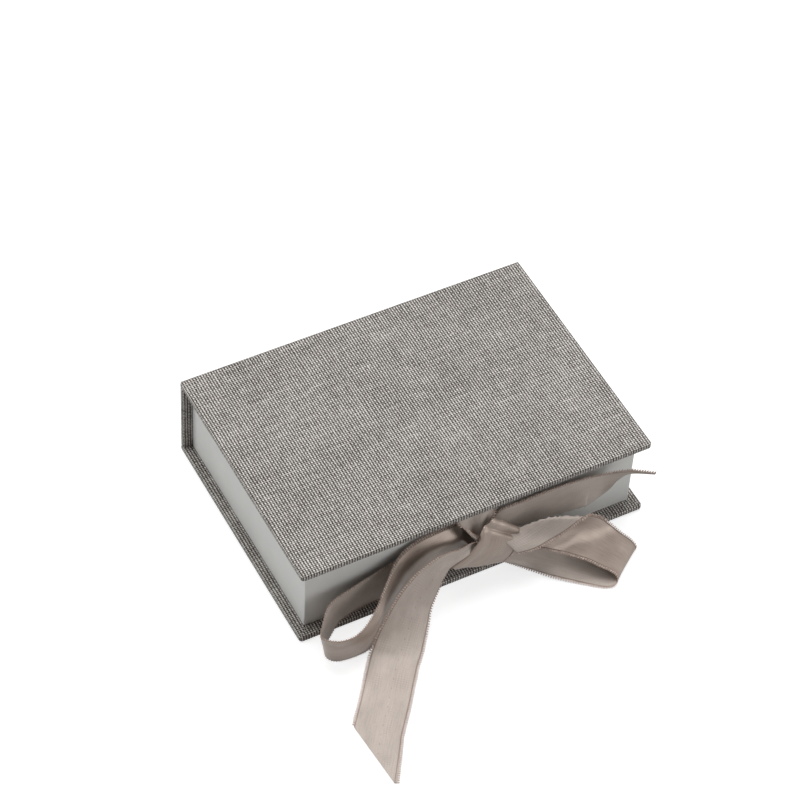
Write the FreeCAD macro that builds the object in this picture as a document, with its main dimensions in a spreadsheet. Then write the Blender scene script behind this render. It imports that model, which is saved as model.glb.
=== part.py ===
import FreeCAD, Part
import os

# Book-style presentation box for photo prints. A base board, a spine board and a
# lid board are covered in one book cloth, and the lid opens on the cloth at the top
# of the spine. A greyboard tray covered in paper is glued to the base and the spine.
# Two satin ribbons, one from the lid and one from the base, are tied in a bow at the
# middle of the fore edge.
#
# X runs along the spine, +Y from the fore edge to the spine, +Z up. The origin is
# the centre of the underside.

os.makedirs("parts", exist_ok=True)
doc = FreeCAD.newDocument("PresentationBox")

# Driving dimensions in millimetres: alias, value, meaning.
drivingSizes = [
    ("caseLength", 170.0, "closed case along the spine, over the cloth"),
    ("caseDepth", 120.0, "closed case from the fore edge to the spine"),
    ("caseHeight", 45.5, "closed case from the underside to the lid's top"),
    ("boardGauge", 2.5, "thickness of the base and lid boards"),
    ("spineGauge", 2.0, "thickness of the spine board"),
    ("clothGauge", 0.35, "thickness of the book cloth"),
    ("cornerRadius", 1.5, "rounding of the boards' upright corners at the fore edge"),
    ("turnIn", 14.0, "width of the cloth turned in over a board's edge"),
    ("infillGap", 0.3, "gap between a turn-in and the infill card beside it"),
    ("paperGauge", 0.2, "thickness of the tray's covering and lining paper"),
    ("liningMargin", 3.0, "cloth left showing round the lid's lining"),
    ("liningSpineGap", 1.0, "gap between the lid's lining and the spine"),
    ("trayGauge", 2.0, "thickness of the tray's greyboard"),
    ("endOverhang", 4.5, "case beyond the tray at each end"),
    ("foreOverhang", 5.5, "case beyond the tray at the fore edge"),
    ("lidGap", 0.3, "gap between the tray's rim and the lid's lining"),
    ("wrapTurnDown", 12.0, "covering paper turned down inside the tray's walls"),
    ("wrapFlange", 10.0, "covering paper turned in under the tray"),
    ("liningDrop", 4.0, "depth of the wall lining's top below the rim"),
    ("hingeGap", 0.3, "open joint between the spine's top and the lid"),
    ("hingeLap", 2.5, "cloth of the hinge above and below the open joint"),
    ("ribbonWidth", 22.0, "width of the satin ribbon"),
    ("ribbonGauge", 0.3, "thickness of the satin ribbon"),
    ("ribbonLap", 45.0, "length of ribbon glued down at each board"),
    ("recessClearance", 0.3, "clearance round a glued ribbon in its recess"),
    ("ribbonSeat", 0.02, "glue line between a hanging ribbon and its glued end"),
    ("lidLeadSetback", 2.5, "lid ribbon's way out, behind the fore edge"),
    ("baseLeadStep", 0.6, "base ribbon's way out, in front of the tray"),
    ("lidRibbonShift", -1.5, "lid ribbon's centre along X"),
    ("baseRibbonShift", 2.0, "base ribbon's centre along X"),
]
sheet = doc.addObject("Spreadsheet::Sheet", "Size")
for row, (alias, value, meaning) in enumerate(drivingSizes, start=1):
    sheet.set(f"A{row}", meaning)
    sheet.set(f"B{row}", str(value))
    sheet.setAlias(f"B{row}", alias)
doc.recompute()

# Levels and faces, as expressions on the sheet.
endFace = "(Size.caseLength / 2)"
spineFace = "(Size.caseDepth / 2)"
foreEdge = "(-Size.caseDepth / 2)"
baseTop = "(Size.boardGauge + 2 * Size.clothGauge)"
lidUnder = "(Size.caseHeight - Size.boardGauge - 2 * Size.clothGauge)"
spineInside = f"({spineFace} - Size.spineGauge - 2 * Size.clothGauge)"
spineTop = f"({lidUnder} - Size.hingeGap)"
trayEnd = f"({endFace} - Size.endOverhang)"
trayFront = f"({foreEdge} + Size.foreOverhang)"
trayTop = f"({lidUnder} - Size.paperGauge - Size.lidGap)"
past = "1"    # how far a cutting block runs past the face that it opens

pieces = []


def amount(expression):
    """The present value of an expression on the sheet."""
    return float(sheet.evalExpression(expression))


def piece(label, solid):
    """Gives a finished sub-part the label that names its file."""
    solid.Label = label
    pieces.append(solid)
    return solid


def block(name, xSpan, ySpan, zSpan):
    """A rectangular block between the low and high face of each span."""
    solid = doc.addObject("Part::Box", name)
    spans = (("Length", "x", xSpan), ("Width", "y", ySpan), ("Height", "z", zSpan))
    for side, axis, (low, high) in spans:
        solid.setExpression(side, f"({high}) - ({low})")
        solid.setExpression(f"Placement.Base.{axis}", low)
    return solid


def roundedPlate(name, xSpan, ySpan, zSpan, radius):
    """A plate with its two upright corners at the fore edge rounded."""
    blank = block(f"{name}Blank", xSpan, ySpan, zSpan)
    doc.recompute()
    front = blank.Shape.BoundBox.YMin
    corners = []
    for number, edge in enumerate(blank.Shape.Edges, start=1):
        reach = edge.BoundBox
        if reach.ZLength > reach.XLength + reach.YLength and reach.YMin < front + amount(radius):
            corners.append((number, amount(radius), amount(radius)))
    plate = doc.addObject("Part::Fillet", name)
    plate.Base = blank
    plate.Edges = corners
    return plate


def less(name, solid, *cutters):
    """A solid with each cutter taken from it in turn."""
    for step, cutter in enumerate(cutters, start=1):
        cut = doc.addObject("Part::Cut", f"{name}Cut{step}")
        cut.Base = solid
        cut.Tool = cutter
        solid = cut
    return solid


def centred(half):
    """A span of twice half, centred on zero."""
    return (f"-({half})", half)


# Cloth-covered boards ------------------------------------------------------------

outerX = centred(endFace)
outerY = (foreEdge, spineFace)
boardX = centred(f"{endFace} - Size.clothGauge")
boardY = (f"{foreEdge} + Size.clothGauge", f"{spineFace} - Size.clothGauge")
windowX = centred(f"{endFace} - Size.turnIn")
windowY = (f"{foreEdge} + Size.turnIn", f"{spineFace} - Size.turnIn")
infillX = centred(f"{endFace} - Size.turnIn - Size.infillGap")
infillY = (f"{windowY[0]} + Size.infillGap", f"{windowY[1]} - Size.infillGap")
clothRadius = "Size.cornerRadius + Size.clothGauge"


def ribbonRecess(name, shift, front, zSpan):
    """The shallow recess in which a glued ribbon end lies, with clearance all round."""
    half = "Size.ribbonWidth / 2 + Size.recessClearance"
    xSpan = (f"Size.{shift} - ({half})", f"Size.{shift} + {half}")
    ySpan = (f"{front} - Size.recessClearance", f"{front} + Size.ribbonLap + Size.recessClearance")
    return block(name, xSpan, ySpan, zSpan)


def gluedRibbon(name, shift, front, zSpan):
    """The flat ribbon end that is glued to a board."""
    half = "Size.ribbonWidth / 2"
    xSpan = (f"Size.{shift} - {half}", f"Size.{shift} + {half}")
    return block(name, xSpan, (front, f"{front} + Size.ribbonLap"), zSpan)


# Base: the cloth wraps the underside and the edges, and turns in on top.
baseBoardTop = "(Size.clothGauge + Size.boardGauge)"
baseInner = (baseBoardTop, f"{baseTop} + {past}")
baseLeadFront = f"({trayFront} - Size.baseLeadStep)"
baseBoard = piece("base_board", roundedPlate(
    "BaseBoard", boardX, boardY, ("Size.clothGauge", baseBoardTop), "Size.cornerRadius"))
baseOuter = roundedPlate("BaseOuter", outerX, outerY, ("0", baseTop), clothRadius)
baseRecess = ribbonRecess("BaseRecess", "baseRibbonShift", baseLeadFront, baseInner)
piece("base_cloth", less(
    "BaseCloth", baseOuter, baseBoard, block("BaseWindow", windowX, windowY, baseInner), baseRecess))
piece("base_infill", less(
    "BaseInfill", block("BaseInfillCard", infillX, infillY, (baseBoardTop, baseTop)), baseRecess))
piece("base_ribbon_anchor", gluedRibbon(
    "BaseAnchor", "baseRibbonShift", baseLeadFront,
    (baseBoardTop, f"{baseBoardTop} + Size.ribbonGauge")))

# Lid: the same, with its turn-ins and lining underneath.
lidBoardUnder = f"({lidUnder} + Size.clothGauge)"
lidInner = (f"{lidUnder} - {past}", lidBoardUnder)
lidLeadFront = f"({foreEdge} + Size.lidLeadSetback)"
hingeY = (f"{spineFace} - Size.clothGauge", spineFace)
hingeZ = (f"{spineTop} - Size.hingeLap", f"{lidUnder} + Size.hingeLap")
hingePocketY = (hingeY[0], f"{spineFace} + {past}")
lidBoard = piece("lid_board", roundedPlate(
    "LidBoard", boardX, boardY,
    (lidBoardUnder, "Size.caseHeight - Size.clothGauge"), "Size.cornerRadius"))
lidOuter = roundedPlate("LidOuter", outerX, outerY, (lidUnder, "Size.caseHeight"), clothRadius)
lidRecess = ribbonRecess("LidRecess", "lidRibbonShift", lidLeadFront, lidInner)
lidWindow = block("LidWindow", windowX, windowY, lidInner)
lidHingePocket = block(
    "LidHingePocket", centred(f"{endFace} + {past}"), hingePocketY,
    (f"{lidUnder} - {past}", hingeZ[1]))
piece("lid_cloth", less("LidCloth", lidOuter, lidBoard, lidWindow, lidRecess, lidHingePocket))
piece("lid_infill", less(
    "LidInfill", block("LidInfillCard", infillX, infillY, (lidUnder, lidBoardUnder)), lidRecess))
piece("lid_lining", block(
    "LidLining", centred(f"{endFace} - Size.liningMargin"),
    (f"{foreEdge} + Size.liningMargin", f"{spineInside} - Size.liningSpineGap"),
    (f"{lidUnder} - Size.paperGauge", lidUnder)))
piece("lid_ribbon_anchor", gluedRibbon(
    "LidAnchor", "lidRibbonShift", lidLeadFront,
    (f"{lidBoardUnder} - Size.ribbonGauge", lidBoardUnder)))

# Spine: stands on the base, and stops short of the lid at the open joint.
spineBoard = piece("spine_board", block(
    "SpineBoard", boardX, (f"{spineInside} + Size.clothGauge", f"{spineFace} - Size.clothGauge"),
    (f"{baseTop} + Size.clothGauge", f"{spineTop} - Size.clothGauge")))
spineOuter = block("SpineOuter", outerX, (spineInside, spineFace), (baseTop, spineTop))
spineHingePocket = block(
    "SpineHingePocket", centred(f"{endFace} + {past}"), hingePocketY,
    (hingeZ[0], f"{spineTop} + {past}"))
piece("spine_cloth", less("SpineCloth", spineOuter, spineBoard, spineHingePocket))

# Hinge: the strip of cloth that bends where the lid meets the spine.
piece("hinge_cloth", block("HingeCloth", outerX, hingeY, hingeZ))


# Tray ----------------------------------------------------------------------------

def trayBlock(name, inset, zSpan):
    """A block that fills the tray's plan, drawn in by inset on every side."""
    return block(
        name, centred(f"{trayEnd} - ({inset})"),
        (f"{trayFront} + ({inset})", f"{spineInside} - ({inset})"), zSpan)


def trayRing(name, outerInset, innerInset, zSpan):
    """A rectangular ring of the tray's plan between two insets."""
    hole = trayBlock(f"{name}Hole", innerInset, (f"{zSpan[0]} - {past}", f"{zSpan[1]} + {past}"))
    return less(name, trayBlock(f"{name}Full", outerInset, zSpan), hole)


wallOuter = "Size.paperGauge"
wallInner = "Size.paperGauge + Size.trayGauge"
turnDownInner = f"{wallInner} + Size.paperGauge"
liningInner = f"{turnDownInner} + Size.paperGauge"
wallZ = (f"{baseTop} + Size.paperGauge", f"{trayTop} - Size.paperGauge")
floorTop = f"({baseTop} + Size.paperGauge + Size.trayGauge)"
wallFaceX = f"({trayEnd} - ({wallOuter}))"
wallBackX = f"({trayEnd} - ({wallInner}))"
wallFrontY = (f"{trayFront} + ({wallOuter})", f"{trayFront} + ({wallInner})")
wallBackY = (f"{spineInside} - ({wallInner})", f"{spineInside} - ({wallOuter})")

piece("tray_front_wall", block("TrayFrontWall", centred(wallFaceX), wallFrontY, wallZ))
piece("tray_back_wall", block("TrayBackWall", centred(wallFaceX), wallBackY, wallZ))
endWallY = (wallFrontY[1], wallBackY[0])
piece("tray_left_wall", block("TrayLeftWall", (f"-{wallFaceX}", f"-{wallBackX}"), endWallY, wallZ))
piece("tray_right_wall", block("TrayRightWall", (wallBackX, wallFaceX), endWallY, wallZ))
piece("tray_floor_board", trayBlock("TrayFloorBoard", wallInner, (wallZ[0], floorTop)))

# One sheet of paper covers the walls: up the outside, over the rim and down inside,
# with a flange turned in under the tray.
trayWrap = doc.addObject("Part::MultiFuse", "TrayWrap")
trayWrap.Shapes = [
    trayRing("WrapSkin", "0", wallOuter, (baseTop, trayTop)),
    trayRing("WrapRim", "0", turnDownInner, (wallZ[1], trayTop)),
    trayRing("WrapTurnDown", wallInner, turnDownInner, (f"{trayTop} - Size.wrapTurnDown", trayTop)),
    trayRing("WrapFlange", "0", "Size.wrapFlange", (baseTop, wallZ[0])),
]
piece("tray_wrap", trayWrap)
piece("tray_wall_lining", trayRing(
    "WallLining", turnDownInner, liningInner, (floorTop, f"{trayTop} - Size.liningDrop")))
piece("tray_floor_lining", trayBlock(
    "FloorLining", liningInner, (floorTop, f"{floorTop} + Size.paperGauge")))


# Ribbons -------------------------------------------------------------------------

# A strand of ribbon is a list of stations. Each gives a point on one selvedge as
# (X, distance in front of the tray, height), the direction across to the other
# selvedge, and the share of the ribbon's width that shows where it is gathered.
# Heights are for a lid whose underside is at bowHeight, and follow the real one.
bowHeight = 42.3
stepsPerSpan = 3
frontY = amount(trayFront)
rise = amount(lidUnder) / bowHeight
ribbonWidth = amount("Size.ribbonWidth")
ribbonGauge = amount("Size.ribbonGauge")

leftLoop = [
    ((3, 8.7, 14), (0, 0, 1), 0.18),
    ((0, 5.7, 12), (0, 0, 1), 0.18),
    ((-4, 3.1, 11.5), (0, 0, 1), 0.22),
    ((-10, 1.9, 12.5), (-2, -1, 22), 0.8),
    ((-22, 1.6, 9.5), (-2, -0.8, 22), 1),
    ((-37, 2.1, 5.5), (-3, 0.3, 22), 1),
    ((-49, 2.5, 4.2), (-6, 1.5, 20), 1),
    ((-58, 3.3, 4.1), (-8, 2.5, 19), 1),
    ((-65, 4.6, 4.2), (-8, 4, 19), 1),
    ((-68.5, 6.2, 3.1), (-8, 5.5, 19), 1),
    ((-72, 8.4, 0.9), (-8, 7, 19), 1),
    ((-75.5, 11.5, 0.4), (-7, 7, 20), 1),
    ((-77.8, 15, 0.4), (-5.5, 5.5, 21), 1),
    ((-78, 18, 0.4), (-4, 4.5, 21), 1),
    ((-76, 20.7, 0.4), (-3.3, 4, 21), 1),
    ((-72, 22.1, 0.4), (-3.5, 4, 21), 1),
    ((-65.5, 22.5, 0.4), (-4, 3.5, 21), 1),
    ((-58, 20.9, 1), (-5, 2.5, 21), 0.95),
    ((-49, 16.5, 3.5), (-6.5, 1.8, 21), 0.92),
    ((-40, 10.5, 8), (-7.5, 0.5, 20), 0.92),
    ((-30.8, 5.7, 12.5), (-9, -0.8, 19.5), 0.93),
    ((-20, 3.9, 16.5), (-8, -1.6, 20), 0.95),
    ((-9, 3.1, 18.3), (-5, -2.4, 20), 0.9),
    ((-5, 2.7, 16.8), (0, 0, 1), 0.36),
    ((-1, 5.3, 17.5), (0, 0, 1), 0.2),
    ((2, 8, 18.5), (0, 0, 1), 0.2),
]
rightLoop = [
    ((6, 9.9, 13.5), (1, -1, 12), 0.35),
    ((13, 11, 8), (3, -3, 14), 0.55),
    ((21.5, 15.8, 3.2), (8, -6, 14), 0.85),
    ((31, 23.7, 1), (13, -9, 10), 1),
    ((40.3, 31.5, 0.5), (16, -12, 6), 1),
    ((47, 36.7, 0.4), (17, -13.5, 1), 1),
    ((51.2, 38.3, 0.9), (17, -13.7, 0), 1),
    ((54, 37.3, 2.2), (17, -13.7, -1), 1),
    ((54.2, 35.6, 4.2), (17, -13.7, -2.6), 1),
    ((52, 33.5, 6.3), (17.4, -13.2, -2), 1),
    ((48, 30.5, 8), (18.3, -12.2, 0), 1),
    ((43.1, 25.9, 10), (18.9, -10.6, 3.4), 1),
    ((36.5, 21.1, 12), (18.5, -7, 9), 1),
    ((30.8, 18.4, 14), (17, -5, 13), 0.92),
    ((25, 15, 15.5), (10, -4, 15), 0.6),
    ((14, 10.5, 18.5), (3, -1.5, 11), 0.45),
    ((6, 10.5, 20.5), (1, -0.5, 10), 0.4),
]
longTail = [
    ((0, 10, 20), (-4, 0, 4), 0.25),
    ((-6, 10.5, 19), (-8, 1, 7), 0.45),
    ((-14, 11.7, 18.5), (-9.5, 3, 10), 0.65),
    ((-22.3, 13.5, 15.5), (-11, 3, 13), 0.9),
    ((-28.8, 19, 9), (-15, -2, 14), 1),
    ((-32.9, 24.2, 5), (-16.5, -5, 11), 1),
    ((-36.7, 29.1, 2), (-17.2, -8, 8), 1),
    ((-41, 34.5, 0.5), (-17.4, -11.5, 4), 1),
    ((-46.2, 40.4, 0.3), (-17.1, -13.8, 1), 1),
    ((-57.5, 55.1, 0.3), (-17.1, -13.8, 0), 1),
    ((-67.6, 67.6, 0.3), (-17.1, -13.8, 0), 1),
]
longTailTip = ((-81, 87.2, 0.3), (-17.1, -13.8, 0), 0.05)
shortTail = [
    ((6, 8.3, 28), (0, 0, -1), 0.25),
    ((8, 4.5, 29.5), (0, 0, -1), 0.3),
    ((10.5, 2.1, 37.3), (1, -0.6, -14), 0.62),
    ((17.4, 2.5, 37.2), (0, -2.2, -15.5), 0.72),
    ((31, 3.1, 36.4), (-1.5, -2.6, -17.6), 0.82),
    ((46, 3.5, 35.5), (-2.5, -3, -20.5), 0.95),
    ((57, 4.5, 35), (-2.5, -4, -21), 1),
    ((66, 6.3, 34.9), (-3.5, -5.6, -21), 1),
]
shortTailTip = ((84, 14, 35), (-3, -7, -19), 0.05)


def edgesOf(station):
    """The two selvedge points of a station."""
    (x, forward, height), (acrossX, acrossForward, acrossUp), share = station
    first = FreeCAD.Vector(x, frontY - forward, height * rise)
    across = FreeCAD.Vector(acrossX, -acrossForward, acrossUp)
    across.normalize()
    return first, first + across * ribbonWidth * share


def between(before, start, end, after, part):
    """A point on the smooth curve from start to end: the Catmull-Rom cubic."""
    return (start * 2 + (end - before) * part
            + (before * 2 - start * 5 + end * 4 - after) * part ** 2
            + (start * 3 - before - end * 3 + after) * part ** 3) * 0.5


def smoothed(points):
    """The points with stepsPerSpan steps of the smooth curve between each two."""
    padded = [points[0]] + points + [points[-1]]
    run = []
    for before, start, end, after in zip(padded, padded[1:], padded[2:], padded[3:]):
        for step in range(stepsPerSpan):
            run.append(between(before, start, end, after, step / stepsPerSpan))
    return run + [points[-1]]


def strand(name, stations, tip=None):
    """A flat strip through its stations, thicker where its width is gathered, with
    a slanted cut from its last station to the tip."""
    edges = [edgesOf(station) for station in stations]
    firsts = smoothed([first for first, second in edges])
    seconds = smoothed([second for first, second in edges])
    if tip:
        first, second = edgesOf(tip)
        firsts.append(first)
        seconds.append(second)
    middles = [(first + second) * 0.5 for first, second in zip(firsts, seconds)]
    sections = []
    for number, (first, second) in enumerate(zip(firsts, seconds)):
        along = middles[min(number + 1, len(middles) - 1)] - middles[max(number - 1, 0)]
        across = second - first
        gathered = ribbonWidth / across.Length
        if tip and number == len(firsts) - 1:
            gathered = 1
        normal = along.cross(across)
        normal.normalize()
        half = normal * ribbonGauge * gathered * 0.5
        corners = [first - half, second - half, second + half, first + half, first - half]
        sections.append(Part.makePolygon(corners))
    solid = doc.addObject("Part::Feature", name)
    solid.Shape = Part.makeLoft(sections, True, True)
    solid.Placement = FreeCAD.Placement()
    return solid


def knotSolid(name, rings):
    """A loft through upright ellipses, each given as (X, nearest and farthest
    distance in front of the tray, lowest and highest level)."""
    sections = []
    for x, near, far, low, high in rings:
        centre = FreeCAD.Vector(x, frontY - (near + far) / 2, (low + high) / 2 * rise)
        top = centre + FreeCAD.Vector(0, 0, (high - low) / 2 * rise)
        side = centre + FreeCAD.Vector(0, (far - near) / 2, 0)
        sections.append(Part.Wire([Part.Ellipse(top, side, centre).toShape()]))
    solid = doc.addObject("Part::Feature", name)
    solid.Shape = Part.makeLoft(sections, True, False)
    solid.Placement = FreeCAD.Placement()
    return solid


def aheadOfTray(expression):
    """How far a face lies in front of the tray."""
    return frontY - amount(expression)


piece("left_loop", strand("LeftLoop", leftLoop))
piece("right_loop", strand("RightLoop", rightLoop))
piece("long_tail", strand("LongTail", longTail, longTailTip))
piece("short_tail", strand("ShortTail", shortTail, shortTailTip))
piece("bow_knot", knotSolid("BowKnot", [
    (-13.5, 6.8, 9.2, 13.5, 17),
    (-8, 6.2, 10.7, 12, 24),
    (-2, 6.1, 12.5, 11, 31),
    (4, 6.1, 13.6, 10, 39),
    (10, 6.1, 13, 9, 34),
    (14.5, 6.4, 11, 9.5, 29),
]))

# The lid ribbon drops through its recess and narrows to the knot's back.
lidRibbonMiddle = amount("Size.lidRibbonShift")
lidLeadForward = aheadOfTray(f"{lidLeadFront} + Size.ribbonGauge / 2")
lidLeadTop = amount(f"{lidBoardUnder} - Size.ribbonGauge - Size.ribbonSeat") / rise
piece("lid_ribbon_lead", strand("LidLead", [
    ((lidRibbonMiddle - ribbonWidth / 2, lidLeadForward, lidLeadTop), (1, 0, 0), 1),
    ((lidRibbonMiddle - 5.5, lidLeadForward + 0.2, 34), (14, 1, 3), 0.65),
    ((lidRibbonMiddle - 0.1, lidLeadForward + 0.8, 24), (4, 1, 3), 0.22),
]))

# The base ribbon climbs the tray's front and runs forward into the knot.
baseRibbonMiddle = amount("Size.baseRibbonShift")
baseLeadForward = aheadOfTray(f"{baseLeadFront} + Size.ribbonGauge / 2")
baseLeadFoot = amount(f"{baseBoardTop} + Size.ribbonGauge + Size.ribbonSeat") / rise
piece("base_ribbon_lead", strand("BaseLead", [
    ((baseRibbonMiddle - ribbonWidth / 2, baseLeadForward, baseLeadFoot), (1, 0, 0), 1),
    ((baseRibbonMiddle - 8.8, baseLeadForward, 6), (1, 0, 0), 0.8),
    ((baseRibbonMiddle - 5.5, baseLeadForward + 1.5, 8), (1, 0, 0), 0.5),
    ((baseRibbonMiddle - 3.3, 5.5, 10), (1, 0, 0), 0.3),
    ((baseRibbonMiddle - 2.8, 10.1, 12.5), (1, 0, 0), 0.25),
]))


# Checks and files ----------------------------------------------------------------

doc.recompute()
for item in doc.Objects:
    if "Invalid" in item.State or "Error" in item.State:
        raise RuntimeError(f"{item.Name} failed: {item.State}")
for solid in pieces:
    shape = solid.Shape
    if shape.isNull() or not shape.isValid() or len(shape.Solids) != 1:
        raise RuntimeError(f"{solid.Label} is not one valid solid")
for solid in pieces:
    solid.Shape.exportStep(f"parts/{solid.Label}.step")
    print(f"{solid.Label}: {solid.Shape.Volume:.1f} mm3")
print(f"{len(pieces)} sub-parts written")
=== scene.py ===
import math

import bmesh
import bpy
import numpy as np
from mathutils import Matrix, Vector


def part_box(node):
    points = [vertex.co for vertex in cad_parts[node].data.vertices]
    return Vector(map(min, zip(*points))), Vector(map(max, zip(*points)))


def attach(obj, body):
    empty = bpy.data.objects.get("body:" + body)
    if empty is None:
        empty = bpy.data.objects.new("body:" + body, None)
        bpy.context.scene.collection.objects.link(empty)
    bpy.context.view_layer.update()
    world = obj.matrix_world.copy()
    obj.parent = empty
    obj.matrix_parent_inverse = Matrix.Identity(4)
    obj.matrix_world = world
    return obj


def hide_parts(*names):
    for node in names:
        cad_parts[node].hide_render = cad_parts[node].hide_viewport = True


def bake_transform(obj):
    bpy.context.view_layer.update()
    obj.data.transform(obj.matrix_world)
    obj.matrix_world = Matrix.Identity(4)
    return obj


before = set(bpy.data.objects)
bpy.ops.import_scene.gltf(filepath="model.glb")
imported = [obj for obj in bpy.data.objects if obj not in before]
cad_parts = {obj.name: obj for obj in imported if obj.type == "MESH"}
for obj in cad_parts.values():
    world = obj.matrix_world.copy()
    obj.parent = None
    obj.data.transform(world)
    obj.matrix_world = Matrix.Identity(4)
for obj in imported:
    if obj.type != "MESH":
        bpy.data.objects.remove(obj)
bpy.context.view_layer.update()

# Cloth-covered presentation box with a ribbon bow. Sizes are in millimetres in this
# script and metres in the meshes. X runs along the spine, +Y from the fore edge to
# the spine, +Z up, with the origin at the centre of the underside.

mm = 0.001
random = np.random.default_rng(7)


def cornersOf(node):  # lowest and highest corner of a CAD node, in millimetres
    low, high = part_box(node)
    return np.array(low) / mm, np.array(high) / mm


caseLow, caseHigh = cornersOf("base_cloth")
lidLow, lidHigh = cornersOf("lid_cloth")
spineLow, spineHigh = cornersOf("spine_cloth")
trayLow, trayHigh = cornersOf("tray_wrap")
clothGauge = cornersOf("base_board")[0][2]     # the base board lies on one cloth
trayFront = trayLow[1]
lidUnder = lidLow[2]
print("frame read: case", (lidHigh - caseLow).round(1))


def gridFaces(rows, columns, closeRows=False, closeColumns=False):
    # quads of a grid whose point (r, c) has the index r * columns + c; a closed
    # direction joins its last line to its first
    r = np.arange(rows if closeRows else rows - 1)[:, None]
    c = np.arange(columns if closeColumns else columns - 1)[None, :]
    rNext, cNext = (r + 1) % rows, (c + 1) % columns
    quads = [r * columns + c, r * columns + cNext, rNext * columns + cNext, rNext * columns + c]
    return np.stack([q + np.zeros_like(r + c) for q in quads], -1).reshape(-1, 4)


def runAlong(points):  # how far along a line each point is: the sum of the steps so far
    return np.r_[0, np.cumsum(np.linalg.norm(np.diff(points, axis=0), axis=1))]


def readAt(rows, run, at):  # each column of the rows, interpolated to places on the run
    return np.stack([np.interp(at, run, column) for column in rows.T], 1)


def meshPiece(name, points, faces, material, loopUv=None, smooth=True):
    # puts points (n, 3) in millimetres and quads (m, 4) into a new object, with the
    # map "cloth" where each face's corners are given their place on the cloth
    mesh = bpy.data.meshes.new(name)
    mesh.from_pydata((np.asarray(points, float).reshape(-1, 3) * mm).tolist(), [], faces.tolist())
    if loopUv is not None:
        layer = mesh.uv_layers.new(name="cloth")
        layer.data.foreach_set("uv", np.asarray(loopUv, np.float32).ravel())
    mesh.polygons.foreach_set("use_smooth", np.full(len(mesh.polygons), smooth))
    mesh.materials.append(material)
    mesh.update()
    piece = bpy.data.objects.new(name, mesh)
    bpy.context.scene.collection.objects.link(piece)
    return piece


def place(piece, body, slot, *nodes):  # a finished piece's body and CAD nodes; the slot, its finish, is not used
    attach(piece, body)
    if nodes:
        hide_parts(*nodes)
    return piece


def linear(hexText):  # sRGB hex to linear: ((c + 0.055) / 1.055) ** 2.4, or c / 12.92 when dark
    channels = np.array([int(hexText[i:i + 2], 16) for i in (1, 3, 5)]) / 255
    turned = np.where(channels > 0.04045, ((channels + 0.055) / 1.055) ** 2.4, channels / 12.92)
    return (*turned.tolist(), 1.0)


def feed(tree, node, inputs):  # an input, by number or name, gets a value or a node's output
    for key, value in inputs.items():
        if isinstance(value, bpy.types.NodeSocket):
            tree.links.new(value, node.inputs[key])
        else:
            node.inputs[key].default_value = value


def addNode(tree, kind, inputs=(), settings=None, stops=()):
    # one node with its settings and links; returns its outputs. A kind's second word is
    # the node's operation, inputs without names are in order, and stops are the places
    # from 0 to 1 and the colours of a ramp
    kind, *operation = kind.split()
    node = tree.nodes.new("ShaderNode" + kind)
    if operation:
        node.operation = operation[0]
    for key, value in (settings or {}).items():
        setattr(node, key, value)
    feed(tree, node, inputs if isinstance(inputs, dict) else dict(enumerate(inputs)))
    if stops:
        elements = node.color_ramp.elements
        while len(elements) < len(stops):
            elements.new(0.5)
        for element, (position, colour) in zip(elements, stops):
            element.position = position
            element.color = linear(colour)
    return node.outputs


def newMaterial(name):  # a plain material, its node tree and its shader node
    material = bpy.data.materials.new(name)
    material.use_nodes = True
    tree = material.node_tree
    return material, tree, tree.nodes["Principled BSDF"]


def stretchedNoise(tree, where, grains, detail=2.0):
    # noise of so many grains to the millimetre in each direction
    scaled = addNode(tree, "VectorMath MULTIPLY", (where, grains))[0]
    return addNode(tree, "TexNoise", {
        "Vector": scaled, "Scale": 1.0, "Detail": detail, "Roughness": 0.55})["Fac"]


# Linen-look book cloth, a plain weave of undyed thick warp over dark weft with paper
# behind it. To the eye: pale ribs along Y, dark slots between them, and slubs, where one
# weft thread is thick and pale for a centimetre or two.
bookClothLook = {
    "warpPitch": 1.27, "weftPitch": 0.976,         # mm from thread to thread
    "stray": 0.6, "relief": 0.22,                  # mm that a thread wanders, and of height
    # shares of the relief, and of the tone
    "rib": 0.3, "knuckle": 0.35,
    "warp": 0.29, "weft": 0.19, "crossing": 0.09, "floats": 0.10, "slub": 0.18,
    # grains to the millimetre across and along the ribs
    "warpStray": (0.25, 0.09, 0), "weftStray": (0.08, 0.3, 0), "slubGrain": (0.07, 0.95, 0),
    "slubFrom": 0.70, "slubTo": 0.84,
    # share of the tone, grains to the millimetre and detail
    "uneven": {
        "warpTone": (0.30, (0.75, 0.10, 0), 1.0), "weftTone": (0.34, (0.06, 1.0, 0), 1.0),
        "speck": (0.52, (0.85, 1.1, 0), 1.0), "drift": (0.2, (0.02, 0.03, 0), 2.0),
    },
    "ramp": ((0.08, "#2b2724"), (0.33, "#625d58"), (0.58, "#98928d"), (0.92, "#efece8")),
    "surface": {"Roughness": 0.85, "Specular IOR Level": 0.25},
}


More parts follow.
